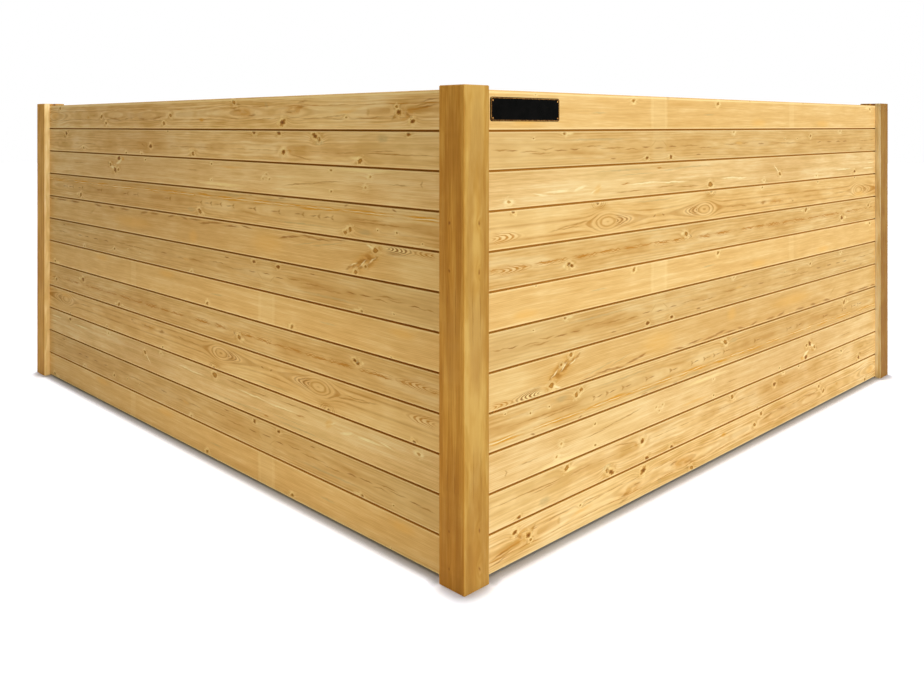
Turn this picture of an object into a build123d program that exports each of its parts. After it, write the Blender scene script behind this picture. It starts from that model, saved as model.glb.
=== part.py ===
"""Corner of a horizontal wood fence: two bays of tongue-and-groove boards between three grooved timber posts.

Frame: millimetres, +Z up. The origin is the middle of the corner post's foot, at ground level.
The right bay runs along +X and the left bay along +Y. The street side faces -Y and -X, and the back
faces +Y and +X.
"""

import os

from build123d import *

# The two bays
BAY_CENTRES = 4000.0
BOARD_COUNT = 12
BOARD_PITCH = 152.4
GROUND_GAP = 8.0
POST_ABOVE_BOARDS = 14.0

# Posts: square timbers with a groove down each side that takes boards
POST_SIDE = 133.0
POST_ARRIS = 4.0
POST_TOP_BEVEL = 3.0
GROOVE_DEPTH = 36.0
GROOVE_CLEARANCE = 0.4
FACE_SETBACK = 36.0

# Boards: face reveal in front of the tongue, tight shoulder behind it
BOARD_THICKNESS = 38.0
BOARD_ARRIS = 2.5
BOARD_END_ROOM = 3.0
REVEAL = 6.0
SHOULDER_GAP = 0.3
TONGUE_THICKNESS = 12.0
TONGUE_LENGTH = 11.0
TONGUE_BEVEL = 2.0
TONGUE_CLEARANCE = 0.5
TONGUE_TIP_ROOM = 1.5

# Battens screwed up the back of each bay, short of the boards' top and bottom edges
BATTEN_WIDTH = 89.0
BATTEN_THICKNESS = 38.0
BATTEN_ARRIS = 3.0
BATTEN_END_MARGIN = 50.0
BATTENS_PER_BAY = 2

# Bare sign plate on the right bay's top board
PLATE_LENGTH = 414.0
PLATE_HEIGHT = 93.0
PLATE_THICKNESS = 4.0
PLATE_CORNER = 10.0
PLATE_BEVEL = 1.0
PLATE_FROM_POST = 42.0
PLATE_BELOW_TOP = 26.0

# Worked out from the sizes above
POST_HALF = POST_SIDE / 2
BOARDS_HEIGHT = BOARD_COUNT * BOARD_PITCH
BOARDS_TOP = GROUND_GAP + BOARDS_HEIGHT
POST_HEIGHT = BOARDS_TOP + POST_ABOVE_BOARDS
BOARD_FACE = -POST_HALF + FACE_SETBACK
BOARD_BACK = BOARD_FACE + BOARD_THICKNESS
BOARD_MIDDLE = (BOARD_FACE + BOARD_BACK) / 2
BOARD_START = POST_HALF - GROOVE_DEPTH + BOARD_END_ROOM
BOARD_LENGTH = BAY_CENTRES - 2 * BOARD_START
CLEAR_SPAN = BAY_CENTRES - POST_SIDE

# The left bay is the right bay mirrored in the upright plane that halves the corner
CORNER_MIRROR = Plane(origin=(0, 0, 0), z_dir=(1, -1, 0))


def plain_post():
    """A square post on the ground, its upright arrises rounded over and its top edges bevelled."""
    outline = RectangleRounded(POST_SIDE, POST_SIDE, POST_ARRIS)
    post = extrude(outline, POST_HEIGHT)
    return chamfer(post.edges().group_by(Axis.Z)[-1], POST_TOP_BEVEL)


def board_groove():
    """The stopped groove in a post's +X side: the lowest board stands on its end, and it is open at the top."""
    wide = BOARD_THICKNESS + 2 * GROOVE_CLEARANCE
    high = POST_HEIGHT - GROUND_GAP
    groove = Box(GROOVE_DEPTH, wide, high, align=(Align.MAX, Align.CENTER, Align.MIN))
    return Pos(POST_HALF, BOARD_MIDDLE, GROUND_GAP) * groove


def corner_post():
    """The corner post, with one groove for each bay."""
    groove = board_groove()
    return plain_post() - groove - mirror(groove, about=CORNER_MIRROR)


def right_end_post():
    """The post at the right bay's far end, grooved on the side that faces the corner."""
    facing_corner = mirror(board_groove(), about=Plane.YZ)
    return Pos(BAY_CENTRES, 0, 0) * (plain_post() - facing_corner)


def board_profile(has_groove, has_tongue):
    """A board's section: X runs from the street face to the back, Y runs up from its lower edge."""
    front_top = BOARD_PITCH - (REVEAL if has_tongue else 0)
    back_top = BOARD_PITCH - (SHOULDER_GAP if has_tongue else 0)
    tongue_front = (BOARD_THICKNESS - TONGUE_THICKNESS) / 2
    tongue_back = tongue_front + TONGUE_THICKNESS

    front = Rectangle(tongue_front, front_top, align=Align.MIN)
    middle = Pos(tongue_front, 0) * Rectangle(TONGUE_THICKNESS, front_top, align=Align.MIN)
    back = Pos(tongue_back, 0) * Rectangle(BOARD_THICKNESS - tongue_back, back_top, align=Align.MIN)
    section = front + middle + back
    by_face = section.vertices().group_by(Axis.X)
    section = fillet(by_face[0] + by_face[-1], BOARD_ARRIS)
    if has_tongue:
        high = BOARD_PITCH + TONGUE_LENGTH - front_top
        tongue = Rectangle(TONGUE_THICKNESS, high, align=(Align.MIN, Align.MIN))
        tongue = chamfer(tongue.vertices().group_by(Axis.Y)[-1], TONGUE_BEVEL)
        section += Pos(tongue_front, front_top) * tongue
    if has_groove:
        wide = TONGUE_THICKNESS + 2 * TONGUE_CLEARANCE
        deep = TONGUE_LENGTH + TONGUE_TIP_ROOM
        section -= Pos(BOARD_THICKNESS / 2, 0) * Rectangle(wide, deep, align=(Align.CENTER, Align.MIN))
    return section


def board(row):
    """One board of the right bay, counted from 0 at the bottom. The lowest has no groove and the top one no tongue."""
    section = board_profile(has_groove=row > 0, has_tongue=row < BOARD_COUNT - 1)
    height = GROUND_GAP + row * BOARD_PITCH
    seat = Plane(origin=(BOARD_START, BOARD_FACE, height), x_dir=(0, 1, 0), z_dir=(1, 0, 0))
    return extrude(seat * section, BOARD_LENGTH)


def board_panel():
    """The right bay's boards, stacked from the groove's lower end with the tongues up."""
    return Compound(children=[board(row) for row in range(BOARD_COUNT)])


def batten(number):
    """One of the right bay's battens, flat against the boards' back and evenly spaced along the clear span."""
    high = BOARDS_HEIGHT - 2 * BATTEN_END_MARGIN
    outline = Rectangle(BATTEN_WIDTH, BATTEN_THICKNESS)
    outline = fillet(outline.vertices().group_by(Axis.Y)[-1], BATTEN_ARRIS)
    along = POST_HALF + number * CLEAR_SPAN / (BATTENS_PER_BAY + 1)
    across = BOARD_BACK + BATTEN_THICKNESS / 2
    return Pos(along, across, GROUND_GAP + BATTEN_END_MARGIN) * extrude(outline, high)


def sign_plate():
    """A bare plate with rounded corners and a bevelled rim, flat on the top board beside the corner post."""
    outline = RectangleRounded(PLATE_LENGTH, PLATE_HEIGHT, PLATE_CORNER)
    plate = extrude(outline, PLATE_THICKNESS)
    plate = chamfer(plate.edges().group_by(Axis.Z)[-1], PLATE_BEVEL)
    centre = (
        POST_HALF + PLATE_FROM_POST + PLATE_LENGTH / 2,
        BOARD_FACE,
        BOARDS_TOP - PLATE_BELOW_TOP - PLATE_HEIGHT / 2,
    )
    return Plane(origin=centre, x_dir=(1, 0, 0), z_dir=(0, -1, 0)) * plate


def fence():
    """Every piece of the fence by its name."""
    pieces = {
        "corner_post": corner_post(),
        "right_end_post": right_end_post(),
        "right_boards": board_panel(),
        "sign_plate": sign_plate(),
    }
    for number in range(1, BATTENS_PER_BAY + 1):
        pieces[f"right_batten_{number}"] = batten(number)
    for name in list(pieces):
        if name.startswith("right_"):
            pieces[name.replace("right_", "left_")] = mirror(pieces[name], about=CORNER_MIRROR)
    return pieces


os.makedirs("parts", exist_ok=True)
for name, piece in fence().items():
    export_step(piece, f"parts/{name}.step")
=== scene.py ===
"""Looks of a horizontal board fence corner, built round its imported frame. Metres, +Z up, frame as packed."""
import math
from typing import NamedTuple

import bmesh
import bpy
from mathutils import Matrix, Vector


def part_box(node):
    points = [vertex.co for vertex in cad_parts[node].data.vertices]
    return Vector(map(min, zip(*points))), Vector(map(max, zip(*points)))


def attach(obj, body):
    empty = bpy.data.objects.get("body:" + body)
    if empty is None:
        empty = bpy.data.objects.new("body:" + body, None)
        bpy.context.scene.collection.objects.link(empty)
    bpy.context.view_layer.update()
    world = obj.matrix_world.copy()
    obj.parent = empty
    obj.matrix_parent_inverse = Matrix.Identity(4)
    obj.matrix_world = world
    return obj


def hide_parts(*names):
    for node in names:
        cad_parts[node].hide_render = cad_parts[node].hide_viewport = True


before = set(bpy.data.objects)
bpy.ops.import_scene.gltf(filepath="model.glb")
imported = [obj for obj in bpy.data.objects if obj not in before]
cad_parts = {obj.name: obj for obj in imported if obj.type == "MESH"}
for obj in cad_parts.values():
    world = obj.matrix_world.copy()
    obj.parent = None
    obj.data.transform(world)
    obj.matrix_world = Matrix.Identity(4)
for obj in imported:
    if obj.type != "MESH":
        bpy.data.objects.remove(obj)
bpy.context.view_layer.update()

# Sizes shared with the CAD source
BAY_CENTRES = 4.0
BOARD_COUNT = 12
BOARD_PITCH = 0.1524
GROUND_GAP = 0.008
POST_SIDE = 0.133
POST_HALF = POST_SIDE / 2
BOARD_FACE = -0.0305
BOARD_START = 0.0335
BOARD_LENGTH = 3.933
BOARD_THICKNESS = 0.038
BOARD_ARRIS = 0.0025
REVEAL = 0.006
FACE_HEIGHT = BOARD_PITCH - REVEAL
SHOULDER_GAP = 0.0003
TONGUE_THICKNESS = 0.012
TONGUE_LENGTH = 0.011
TONGUE_BEVEL = 0.002
TONGUE_CLEARANCE = 0.0005
TONGUE_TIP_ROOM = 0.0015
PLATE_CORNER = 0.010

# The boards' marks are placed from here past the corner post's side, in units a little under a metre
FIRST_SEEN = 0.039
ALONG_SCALE = 0.99

# Small parts that the CAD leaves out, and how finely round shapes are drawn
BORDER_SECTION = ((0.0030, 0.0), (0.0032, 0.0004), (0.0046, 0.0004), (0.0048, 0.0))
PIN_INSET = 0.0125
PIN_RADIUS = 0.0034
PIN_DOME = 0.0016
SCREW_SPREAD = 0.024
SCREW_RADIUS = 0.0045
SCREW_DOME = 0.0022
ARC_STEPS = 4
PLATE_ARC_STEPS = 6
DOME_LEVELS = 4
DOME_SIDES = 16
SMOOTH_ANGLE = math.radians(35)

# Camera, fitted to the photograph's straight edges
IMAGE_WIDTH = 924
IMAGE_HEIGHT = 693
FOCAL_PIXELS = 895.8
SENSOR_WIDTH = 36.0
PRINCIPAL_COLUMN = 445.5
HORIZON_ROW = 125.7
CAMERA_PLACE = (-2.3748, -2.3305, 1.7008)
CAMERA_BEARING = 45.65

# Light: each level is the brightness that it gives a white matt surface square to it
FRONT_LEVEL = 0.738
FRONT_COLOUR = (0.935, 0.960, 0.970)
FRONT_ELEVATION = 9.0
FRONT_SPREAD = 12.0
TOP_LEVEL = 0.78
TOP_TILT = 1.4
TOP_BEARING = 45.0
TOP_SPREAD = 3.0
BACK_LEVEL = 0.22
BACK_ELEVATION = 35.0
BACK_BEARING = 135.0
BACK_SPREAD = 12.0
SKY_LEVEL = 0.16
SKY_COLOUR = (1.0, 0.95, 0.82, 1.0)
SIDE_COLOUR = (1.0, 0.925, 0.74)

# The lamps beside the left bay: place, length and height, and watts
SIDE_LAMPS = (
    ((-2.2, 0.85, 0.58), (1.2, 1.0), 14.8),
    ((-1.4, 2.6, 0.16), (2.4, 0.2), 2.0),
)

# The floor, and the painted shadow along the line where the fence comes near it, which fades at the posts'
# feet
WHITE = (1.0, 1.0, 1.0, 1.0)
FLOOR_SIZE = 80.0
FLOOR_SHOWN = (1.07, 1.10, 1.20, 1.0)
FLOOR_BOUNCE = (0.56, 0.54, 0.47, 1.0)
PAINTED_SHADOW_REACH = 0.07
PAINTED_SHADOW_SAMPLES = 8
PAINTED_SHADOW_LEVELS = ((0.45, 0.50), (0.78, 0.51), (0.90, 0.82), (0.96, 1.0))
PAINTED_SHADOW_AT_POSTS = 0.35
CORNER_FADE = 0.015
END_FADE = 0.02

# Colours as they show on a screen
STRAW = (233, 192, 123)
PALE_STRAW = (244, 211, 149)
TAN = (216, 170, 98)
LATEWOOD = (190, 136, 60)
# Painted shade in the joints between boards, and a lighter painted shade on their faces that look up, as if
# lit from above
CHANNEL_SHADE_BROWN = (176, 118, 38)
SHOULDER_LIT_BROWN = (240, 180, 82)
# Painted highlight along the boards' eased edges
EDGE_HIGHLIGHT = (253, 225, 162)
KNOT_CREAM = (254, 226, 160)
WING_BROWN = (204, 148, 62)


def screen(colour):
    """A screen colour as the linear colour that Blender's sockets take."""
    linear = [((c / 255 + 0.055) / 1.055) ** 2.4 if c > 10 else c / 255 / 12.92 for c in colour]
    return (*linear, 1.0)


class Tree:
    """A node tree that is built one value at a time: each call returns the new node's output."""

    def __init__(self, tree):
        self.tree = tree

    def node(self, kind, **settings):
        made = self.tree.nodes.new(kind)
        for name, value in settings.items():
            setattr(made, name, value)
        return made

    def feed(self, socket, value):
        if isinstance(value, bpy.types.NodeSocket):
            self.tree.links.new(value, socket)
        else:
            socket.default_value = value

    def math(self, operation, *values, clamp=False):
        made = self.node("ShaderNodeMath", operation=operation, use_clamp=clamp)
        for socket, value in zip(made.inputs, values):
            self.feed(socket, value)
        return made.outputs[0]

    def vector(self, operation, *values):
        made = self.node("ShaderNodeVectorMath", operation=operation)
        for socket, value in zip(made.inputs, values):
            self.feed(socket, value)
        return made.outputs["Value" if operation in ("LENGTH", "DOT_PRODUCT") else "Vector"]

    def split(self, vector):
        made = self.node("ShaderNodeSeparateXYZ")
        self.feed(made.inputs[0], vector)
        return made.outputs

    def join(self, x=0.0, y=0.0, z=0.0):
        made = self.node("ShaderNodeCombineXYZ")
        for socket, value in zip(made.inputs, (x, y, z)):
            self.feed(socket, value)
        return made.outputs[0]

    def ease(self, value, low, high, start=0.0, end=1.0):
        """Smooth step from start at low to end at high."""
        made = self.node("ShaderNodeMapRange", interpolation_type="SMOOTHSTEP")
        for socket, given in zip(made.inputs, (value, low, high, start, end)):
            self.feed(socket, given)
        return made.outputs[0]

    def spread(self, value, low, high, start=0.0, end=1.0):
        """Straight ramp from start at low to end at high."""
        made = self.node("ShaderNodeMapRange")
        for socket, given in zip(made.inputs, (value, low, high, start, end)):
            self.feed(socket, given)
        return made.outputs[0]

    def between(self, noise, low, high):
        """Straight ramp from low to high over the usual span of a noise."""
        return self.spread(noise, *NOISE_SPAN, low, high)

    def noise(self, place, scale=1.0, detail=2.0, roughness=0.5):
        made = self.node("ShaderNodeTexNoise", noise_dimensions="3D")
        self.feed(made.inputs["Vector"], place)
        made.inputs["Scale"].default_value = scale
        made.inputs["Detail"].default_value = detail
        made.inputs["Roughness"].default_value = roughness
        return made

    def blend(self, factor, under, over, blend_type="MIX"):
        made = self.node("ShaderNodeMix", data_type="RGBA", blend_type=blend_type)
        self.feed(made.inputs[0], factor)
        self.feed(made.inputs[6], under)
        self.feed(made.inputs[7], over)
        return made.outputs[2]

    def ramp(self, value, stops):
        """Colour ramp whose stops are (position, linear RGBA). Returns its colour and its alpha."""
        made = self.node("ShaderNodeValToRGB")
        self.feed(made.inputs[0], value)
        elements = made.color_ramp.elements
        elements[0].position, elements[0].color = stops[0]
        elements[1].position, elements[1].color = stops[-1]
        for position, colour in stops[1:-1]:
            elements.new(position).color = colour
        return made.outputs["Color"], made.outputs["Alpha"]


def new_material(name):
    """An empty node material, as its tree and its shader."""
    material = bpy.data.materials.new(name)
    material.use_nodes = True
    tree = Tree(material.node_tree)
    shader = material.node_tree.nodes["Principled BSDF"]
    return material, tree, shader


# Each noise is read at a place that is stretched along, up and into the wood
SEED_STEPS = (7.31, 3.17, 5.73)
DRIFT_STRETCH = (1.1, 5.0, 5.0)
RIPPLE_STRETCH = (26.0, 60.0, 60.0)
CLOUD_STRETCH = (4.0, 13.0, 13.0)
FIBRE_STRETCH = (14.0, 420.0, 420.0)
WOBBLE_STRETCH = (60.0, 110.0, 60.0)
BAND_STRETCH = (1.2, 50.0)
STREAK_STRETCH = (6.0, 160.0)
STREAK_ROUGHNESS = 0.6
FADE_STRETCH = 7.0
NOISE_MIDDLE = (0.5, 0.5, 0.5)
NOISE_SPAN = (0.3, 0.7)

# What breaks up the marks: how its place is stretched, and the span of noise over which it lets them through
BREAKERS = {"streaks": ((18.0, 160.0, 0.0), (0.38, 0.56)), "blobs": ((24.0, 50.0, 0.0), (0.38, 0.60))}

# How far the grain wanders along the wood, and how far it takes the marks with it
WANDER_ALONG = 0.05
SPOT_DRIFT = (0.02, 0.006, 0.0)
SPOT_RIPPLE = (0.016, 0.008, 0.0)

# Rings: late wood's rise and fall within one, and how a knot pushes them aside, in units of its size
LATE_RISE = (0.35, 0.74)
LATE_FALL = (0.86, 1.0, 1.0, 0.0)
EYE_HEIGHT = 1e3
BULGE_LENGTH = 3.2
BULGE_HEIGHT = 1.6
BULGE_RISE = 0.9

# Tones of the wood: what makes them up, where their middle lies, and how far off the pale and deep ones are
BAND_SHARE = 0.32
STREAK_SHARE = 0.36
CLOUD_SHARE = 0.32
TONE_MIDDLE = 0.49
TONE_PALER = 0.10
TONE_DEEPER = 0.13
FIGURE_PATCHES = (0.35, 0.65, 0.5, 1.0)
FIGURE_BEYOND = 0.12
FIBRE_COVER = 0.18
WAIT = 1e-9

# Where ripples and waves begin and end
CREST = (0.10, 0.34)
RIPPLE_EDGE = (0.6, 1.0, 1.0, 0.0)
RIPPLE_SIDE = (0.2, 0.4)
WAVE_CORE = 0.2
WAVE_GAPS = (0.40, 0.56, 0.1, 1.0)

# Surface: painted highlights on edges, painted shade in joints and on tops, painted light and shade on post
# faces, and sheen
UPWARD = (0.5, 0.9)
FACING = (-0.5, -0.8)
HIGHLIGHT_INSETS = (0.010, 0.002)
HIGHLIGHT_COVER = 0.75
HIGHLIGHT_STOP = 0.001
JOINT_SHADE_FADE = 0.35
# Painted shade on faces that look up
TOP_SHADE_TINT = (0.78, 0.68, 0.58, 1.0)
LINE_RELIEF = 0.5
BUMP_STRENGTH = 0.35
BUMP_DEPTH = 0.0006
PINE_ROUGHNESS = (0.56, 0.70)
PINE_SPECULAR = 0.15

# Knots: their shape, the cream halo to one side and the brown wings at both ends
KNOT_LENGTH = 1.12
KNOT_HEIGHT = 0.74
KNOT_UNEVEN = (0.65, 1.35)
HALO_SHIFT = (0.5, -0.5)
HALO_FADE = (0.5, 1.9, 0.46, 0.0)
WINGED_KNOTS = ("sound", "dark")
WING_SHIFT = (1.5, 0.7)
WING_TURN = 20.0
WING_FADE = (0.4, 1.9, 0.55, 0.0)

# Colours and cover of the knots, from the middle at 0 out to KNOT_REACH times their size at 1
KNOT_REACH = 3.2
KNOT_KINDS = {
    "pin": (
        (0.00, (150, 98, 28), 1.0), (0.15, (172, 120, 44), 0.95), (0.27, (208, 158, 80), 0.55),
        (0.38, (252, 226, 160), 0.38), (0.80, (252, 226, 160), 0.0),
    ),
    "sound": (
        (0.00, (158, 104, 30), 1.0), (0.10, (198, 144, 62), 1.0), (0.19, (160, 106, 34), 1.0),
        (0.27, (172, 118, 42), 0.9), (0.36, (236, 190, 112), 0.6), (0.46, (254, 228, 164), 0.42),
        (0.80, (254, 228, 164), 0.0),
    ),
    "dark": (
        (0.00, (112, 66, 14), 1.0), (0.13, (142, 90, 24), 1.0), (0.23, (156, 102, 32), 1.0),
        (0.31, (184, 130, 52), 0.85), (0.41, (242, 198, 122), 0.5), (0.50, (254, 228, 162), 0.42),
        (0.82, (254, 228, 162), 0.0),
    ),
    "pale": (
        (0.00, (196, 144, 72), 1.0), (0.18, (212, 162, 88), 0.9), (0.30, (250, 224, 160), 0.45),
        (0.55, (254, 232, 174), 0.30), (0.95, (254, 232, 174), 0.0),
    ),
    "post pin": ((0.00, (126, 76, 26), 1.0), (0.16, (150, 98, 38), 0.8), (0.40, (176, 124, 52), 0.0)),
}


class Mark(NamedTuple):
    """A kind of soft mark. Its core is how much of the oval is at full strength."""

    colour: tuple
    strength: float
    broken: float
    swell: float = 1.0
    core: float = 0.2
    breaker: str = "streaks"


MARK_KINDS = {
    "pale": Mark((252, 226, 160), 0.75, 0.3),
    "band": Mark((252, 226, 164), 0.17, 0.1, core=0.60),
    # Broad patches of painted light, paler, and of painted shade, darker, along the boards
    "painted light patch": Mark((252, 224, 160), 0.22, 0.0),
    "painted shade patch": Mark((196, 144, 72), 0.22, 0.0),
    "cream": Mark((255, 236, 182), 0.90, 0.3),
    "grey": Mark((192, 166, 112), 0.60, 0.5, swell=1.2),
    "resin": Mark((220, 156, 48), 1.0, 0.30, swell=1.7),
    "orange": Mark((234, 182, 96), 0.60, 0.2),
    "thread": Mark((192, 128, 38), 0.95, 0.35, swell=1.4),
    "line": Mark((180, 126, 50), 0.75, 0.5, swell=1.3),
    "dash": Mark((162, 106, 38), 0.85, 0.3, swell=1.5),
    "arc": Mark((150, 98, 34), 1.0, 0.10),
    "shade": Mark((206, 158, 84), 0.65, 0.3),
    "brown": Mark((172, 116, 38), 0.80, 0.6, swell=1.1),
    "mottle": Mark((172, 116, 42), 0.78, 0.9, core=0.3, breaker="blobs"),
    "gold": Mark((208, 150, 64), 0.68, 0.7, core=0.3, breaker="blobs"),
    "post pale": Mark((222, 182, 108), 0.35, 0.4),
    "post deep": Mark((162, 110, 42), 0.36, 0.3),
    "post line": Mark((150, 98, 34), 0.60, 0.4),
    "post loop": Mark((156, 106, 40), 0.40, 0.2),
}


def oval_group():
    """Node group: how far a place is from a centre, in units of a turned oval's half sizes."""
    group = bpy.data.node_groups.new("oval", "ShaderNodeTree")
    names = "Along", "Up", "Centre along", "Centre up", "Half length", "Half height", "Cosine", "Sine", "Bend"
    for name in names:
        group.interface.new_socket(name, in_out="INPUT", socket_type="NodeSocketFloat")
    group.interface.new_socket("Distance", in_out="OUTPUT", socket_type="NodeSocketFloat")
    tree = Tree(group)
    given = tree.node("NodeGroupInput").outputs
    along = tree.math("SUBTRACT", given["Along"], given["Centre along"])
    up = tree.math("SUBTRACT", given["Up"], given["Centre up"])
    turned_along = tree.math("MULTIPLY", up, given["Sine"])
    turned_along = tree.math("MULTIPLY_ADD", along, given["Cosine"], turned_along)
    turned_up = tree.math("MULTIPLY", up, given["Cosine"])
    turned_up = tree.math("SUBTRACT", turned_up, tree.math("MULTIPLY", along, given["Sine"]))
    lift = tree.math("MULTIPLY", tree.math("ABSOLUTE", turned_along), given["Bend"])
    x = tree.math("DIVIDE", turned_along, given["Half length"])
    y = tree.math("DIVIDE", tree.math("SUBTRACT", turned_up, lift), given["Half height"])
    distance = tree.math("SQRT", tree.math("MULTIPLY_ADD", x, x, tree.math("MULTIPLY", y, y)))
    tree.feed(tree.node("NodeGroupOutput").inputs[0], distance)
    return group


OVAL = oval_group()


def oval(tree, spot, centre, half_sizes, turn=0.0, bend=0.0):
    """Distance of a spot (along, up) from a turned oval's middle: 1 on its rim. A bend makes it a chevron."""
    made = tree.node("ShaderNodeGroup", node_tree=OVAL)
    angle = math.radians(turn)
    values = (*spot, *centre, *half_sizes, math.cos(angle), math.sin(angle), bend)
    for socket, value in zip(made.inputs, values):
        tree.feed(socket, value)
    return made.outputs[0]


def bell(tree, distance, height):
    """A smooth hump of that height in the middle of an oval."""
    squared = tree.math("MULTIPLY", distance, distance)
    return tree.math("MULTIPLY", tree.math("POWER", 1 / math.e, squared), height)


def stretched(tree, place, stretch, detail):
    """Outputs of a noise that is drawn out along the grain."""
    return tree.noise(tree.vector("MULTIPLY", place, stretch), detail=detail).outputs


def sway(tree, place, stretch, detail):
    """Drawn-out noise in three directions, about zero."""
    return tree.vector("SUBTRACT", stretched(tree, place, stretch, detail)["Color"], NOISE_MIDDLE)


def each(groups):
    """Every place in groups of (kind, place, place and so on), with its kind."""
    for kind, *places in groups:
        for place in places:
            yield kind, place


def rings(tree, look, spot, height, depth):
    """Annual rings: cylinders round the pith, which comes nearer at each eye. They bulge at each knot.

    Returns their radius, the height above the pith and the lines of late wood.
    """
    pith_depth = look["pith_depth"]
    for centre, half_length, rise in look["eyes"]:
        near = oval(tree, spot, (centre, 0.0), (half_length, EYE_HEIGHT))
        pith_depth = tree.math("SUBTRACT", pith_depth, bell(tree, near, rise))
    over_pith = tree.math("SUBTRACT", height, look["pith_height"])
    behind = tree.math("SUBTRACT", pith_depth, depth)
    radius = tree.vector("LENGTH", tree.join(over_pith, behind, 0.0))
    for _, (along, up, size, *_) in each(look["knots"]):
        distance = oval(tree, spot, (along, up), (size * BULGE_LENGTH, size * BULGE_HEIGHT))
        radius = tree.math("ADD", radius, bell(tree, distance, size * BULGE_RISE))
    ring = tree.math("FRACT", tree.math("DIVIDE", radius, look["ring"]))
    line = tree.math("MULTIPLY", tree.ease(ring, *LATE_RISE), tree.ease(ring, *LATE_FALL))
    return radius, over_pith, line


def grain(tree, look, seeded, along, radius, over_pith, line):
    """Bands and streaks that follow the rings, clouds, late wood and fibres.

    Returns the colour, the tone that it was picked by and the fibres.
    """
    def following(stretch, **settings):
        """Noise that follows the rings."""
        x, y = tree.math("MULTIPLY", along, stretch[0]), tree.math("MULTIPLY", radius, stretch[1])
        return tree.noise(tree.join(x, y, look["seed"]), **settings).outputs[0]

    band = following(BAND_STRETCH, detail=1.0)
    streak = following(STREAK_STRETCH, detail=2.0, roughness=STREAK_ROUGHNESS)
    cloud = stretched(tree, seeded, CLOUD_STRETCH, 3.0)[0]
    fibre = stretched(tree, seeded, FIBRE_STRETCH, 1.0)[0]
    tone = tree.math("MULTIPLY", band, BAND_SHARE)
    tone = tree.math("ADD", tone, tree.math("MULTIPLY", streak, STREAK_SHARE))
    tone = tree.math("ADD", tone, tree.math("MULTIPLY", cloud, CLOUD_SHARE))
    stops = (
        (TONE_MIDDLE - TONE_PALER / look["contrast"], screen(look["pale"])),
        (TONE_MIDDLE, screen(look["middle"])),
        (TONE_MIDDLE + TONE_DEEPER / look["contrast"], screen(look["deep"])),
    )
    colour, _ = tree.ramp(tone, stops)
    patchy = tree.ease(cloud, *FIGURE_PATCHES)
    figure = tree.math("MULTIPLY", tree.math("MULTIPLY", line, patchy), look["figure"])
    if look["reach"]:
        off_pith = tree.math("ABSOLUTE", over_pith)
        near_pith = tree.ease(off_pith, 0.5 * look["reach"], look["reach"], 1.0, FIGURE_BEYOND)
        figure = tree.math("MULTIPLY", figure, near_pith)
    colour = tree.blend(figure, colour, screen(LATEWOOD))
    colour = tree.blend(tree.between(fibre, 0.0, FIBRE_COVER), colour, screen(LATEWOOD))
    return colour, tone, fibre


def paint(tree, colour, gaps, inside, mark):
    """The colour with a mark over it, once the grain has broken the mark up."""
    through = tree.spread(gaps[mark.breaker], 0.0, 1.0, 1.0 - mark.broken, 1.0)
    return tree.blend(tree.math("MULTIPLY", inside, through), colour, screen(mark.colour))


def paint_marks(tree, colour, spot, gaps, marks):
    """Soft ovals of paler and darker wood."""
    for kind, place in each(marks):
        mark = MARK_KINDS[kind]
        along, up, half_length, half_height, turn, bend = (*place, 0.0, 0.0)[:6]
        distance = oval(tree, spot, (along, up), (half_length, half_height * mark.swell), turn, bend)
        inside = tree.ease(distance, mark.core, 1.0, mark.strength, 0.0)
        colour = paint(tree, colour, gaps, inside, mark)
    return colour


def paint_ripples(tree, colour, spot, gaps, ripples):
    """Nested ovals of grain, all round their middle or on one side of it."""
    for kind, along, up, half_length, half_height, count, side in ripples:
        mark = MARK_KINDS[kind]
        distance = oval(tree, spot, (along, up), (half_length, half_height))
        phase = tree.math("FRACT", tree.math("MULTIPLY", distance, count))
        off_crest = tree.math("ABSOLUTE", tree.math("SUBTRACT", phase, 0.5))
        crest = tree.ease(off_crest, *CREST, mark.strength, 0.0)
        inside = tree.math("MULTIPLY", crest, tree.ease(distance, *RIPPLE_EDGE))
        if side:
            past = tree.math("MULTIPLY", tree.math("SUBTRACT", spot[0], along), side)
            beside = tree.ease(past, *(share * half_length for share in RIPPLE_SIDE))
            inside = tree.math("MULTIPLY", inside, beside)
        colour = paint(tree, colour, gaps, inside, mark)
    return colour


def paint_waves(tree, colour, along, height, gaps, look):
    """Thin lines that wander along the whole board and come and go."""
    for kind, middle, half_height, sweep, per_metre in look["waves"]:
        mark = MARK_KINDS[kind]

        def varied(stretch):
            """Noise along this line."""
            place = tree.join(tree.math("MULTIPLY", along, stretch), middle, look["seed"])
            return tree.noise(place).outputs[0]

        rise = varied(per_metre)
        off = tree.math("SUBTRACT", height, middle)
        off = tree.math("ADD", off, tree.between(rise, -sweep, sweep))
        off = tree.math("ABSOLUTE", off)
        inside = tree.ease(off, WAVE_CORE * half_height, half_height, mark.strength, 0.0)
        fade = varied(FADE_STRETCH)
        inside = tree.math("MULTIPLY", inside, tree.ease(fade, *WAVE_GAPS))
        colour = paint(tree, colour, gaps, inside, mark)
    return colour


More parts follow.
